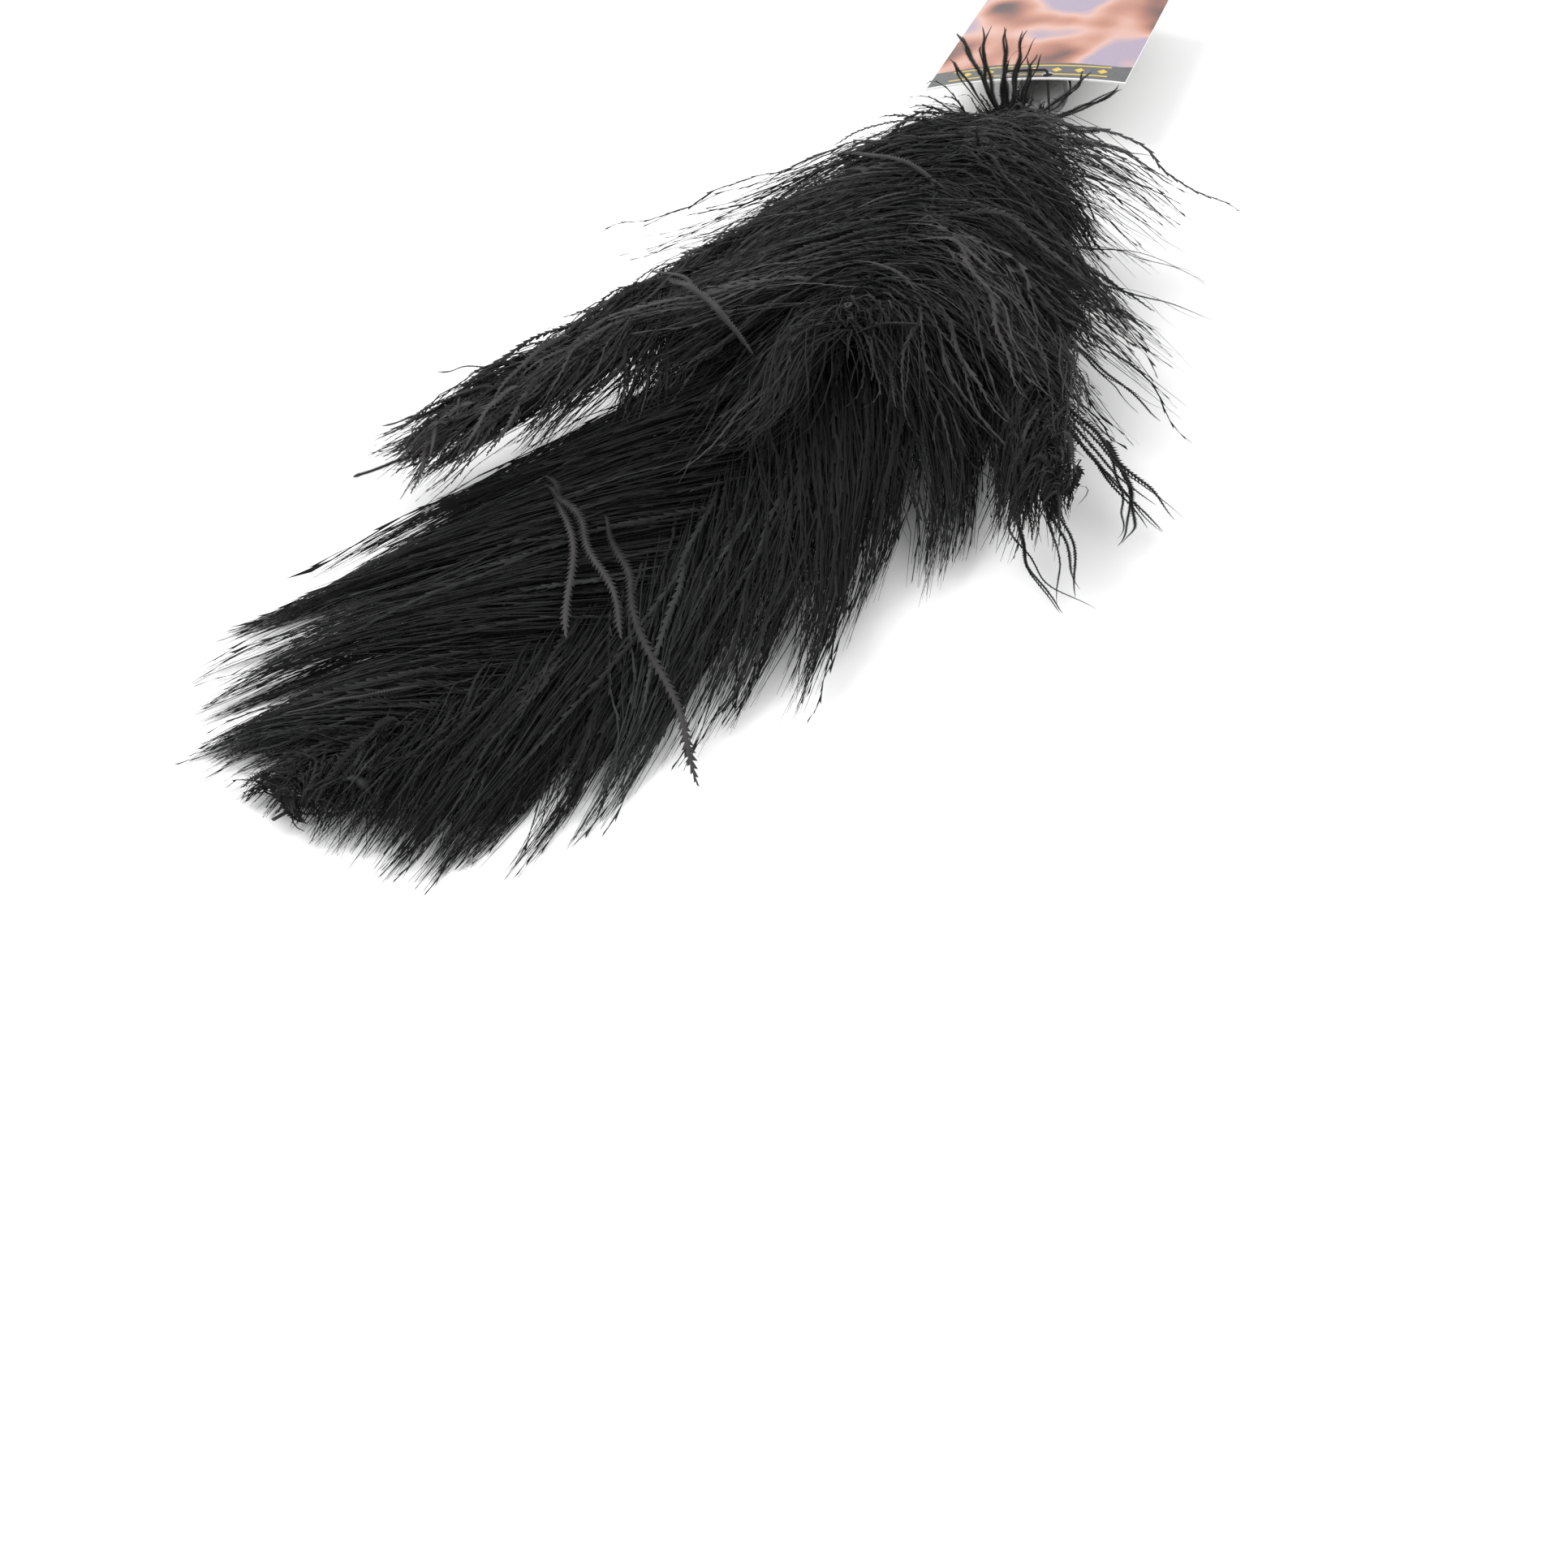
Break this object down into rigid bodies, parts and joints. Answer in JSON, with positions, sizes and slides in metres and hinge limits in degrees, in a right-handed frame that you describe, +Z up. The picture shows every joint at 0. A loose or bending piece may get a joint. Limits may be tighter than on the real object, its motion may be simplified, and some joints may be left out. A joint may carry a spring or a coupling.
{
  "type": "feather duster",
  "caption": "Feather duster: black ostrich plumes bound into a bell collar on a turned handle, with a hang tag on an elastic loop.",
  "frame": {"origin": "middle of the round grip, on the handle's axis", "axes": "+X along the handle from the plumes to its hanging hole, +Z up as the duster lies"},
  "size_m": [0.658, 0.228, 0.059],
  "materials": {
    "lacquered_wood": "gloss",
    "collar_gloss": "gloss",
    "glue": "satin",
    "binding_wire": "satin",
    "down": "matte",
    "printed_card": "satin",
    "elastic": "matte",
    "quill_horn": "satin",
    "shaft_dyed": "satin",
    "barbs": "matte"
  },
  "bodies": {
    "handle": {"handle": "lacquered_wood", "collar": "collar_gloss", "glue_plug": "glue", "quill_binding": "binding_wire", "centre_quill": "quill_horn", "left_quill": "quill_horn", "right_quill": "quill_horn", "top_quill": "quill_horn"},
    "plume_root": {"root_down": "down"},
    "centre_plume": {"centre_shaft": "shaft_dyed", "centre_left_vane": "barbs", "centre_right_vane": "barbs"},
    "left_plume": {"left_shaft": "shaft_dyed", "left_left_vane": "barbs", "left_right_vane": "barbs"},
    "right_plume": {"right_shaft": "shaft_dyed", "right_left_vane": "barbs", "right_right_vane": "barbs"},
    "top_plume": {"top_shaft": "shaft_dyed", "top_left_vane": "barbs", "top_right_vane": "barbs"},
    "tag_loop": {"tag_tie": "elastic"},
    "tag": {"tag_card": "printed_card"}
  },
  "joints": [
    {"name": "plumes_flex", "type": "hinge", "parent": "handle", "child": "plume_root", "pos_m": [-0.186, 0, 0], "axis": [0, 1, 0], "range_deg": [-20, 25], "stiffness_Nm_per_rad": 0.8},
    {"name": "centre_plume_sway", "type": "hinge", "parent": "plume_root", "child": "centre_plume", "pos_m": [-0.188, 0, -0.0042], "axis": [0, 0, 1], "range_deg": [-12, 12], "stiffness_Nm_per_rad": 0.25},
    {"name": "left_plume_sway", "type": "hinge", "parent": "plume_root", "child": "left_plume", "pos_m": [-0.188, 0.0042, 0], "axis": [0, 0, 1], "range_deg": [-12, 4], "stiffness_Nm_per_rad": 0.25},
    {"name": "right_plume_sway", "type": "hinge", "parent": "plume_root", "child": "right_plume", "pos_m": [-0.188, -0.0042, 0], "axis": [0, 0, 1], "range_deg": [-4, 12], "stiffness_Nm_per_rad": 0.25},
    {"name": "top_plume_sway", "type": "hinge", "parent": "plume_root", "child": "top_plume", "pos_m": [-0.188, 0, 0.0042], "axis": [0, 0, 1], "range_deg": [-12, 12], "stiffness_Nm_per_rad": 0.25},
    {"name": "tag_turn", "type": "hinge", "parent": "handle", "child": "tag_loop", "pos_m": [-0.155, 0, 0], "axis": [1, 0, 0], "continuous": true},
    {"name": "tag_lift", "type": "hinge", "parent": "tag_loop", "child": "tag", "pos_m": [-0.151, 0.00234, 0.01329], "axis": [0, -0.9848, 0.1736], "range_deg": [0, 40]}
  ]
}
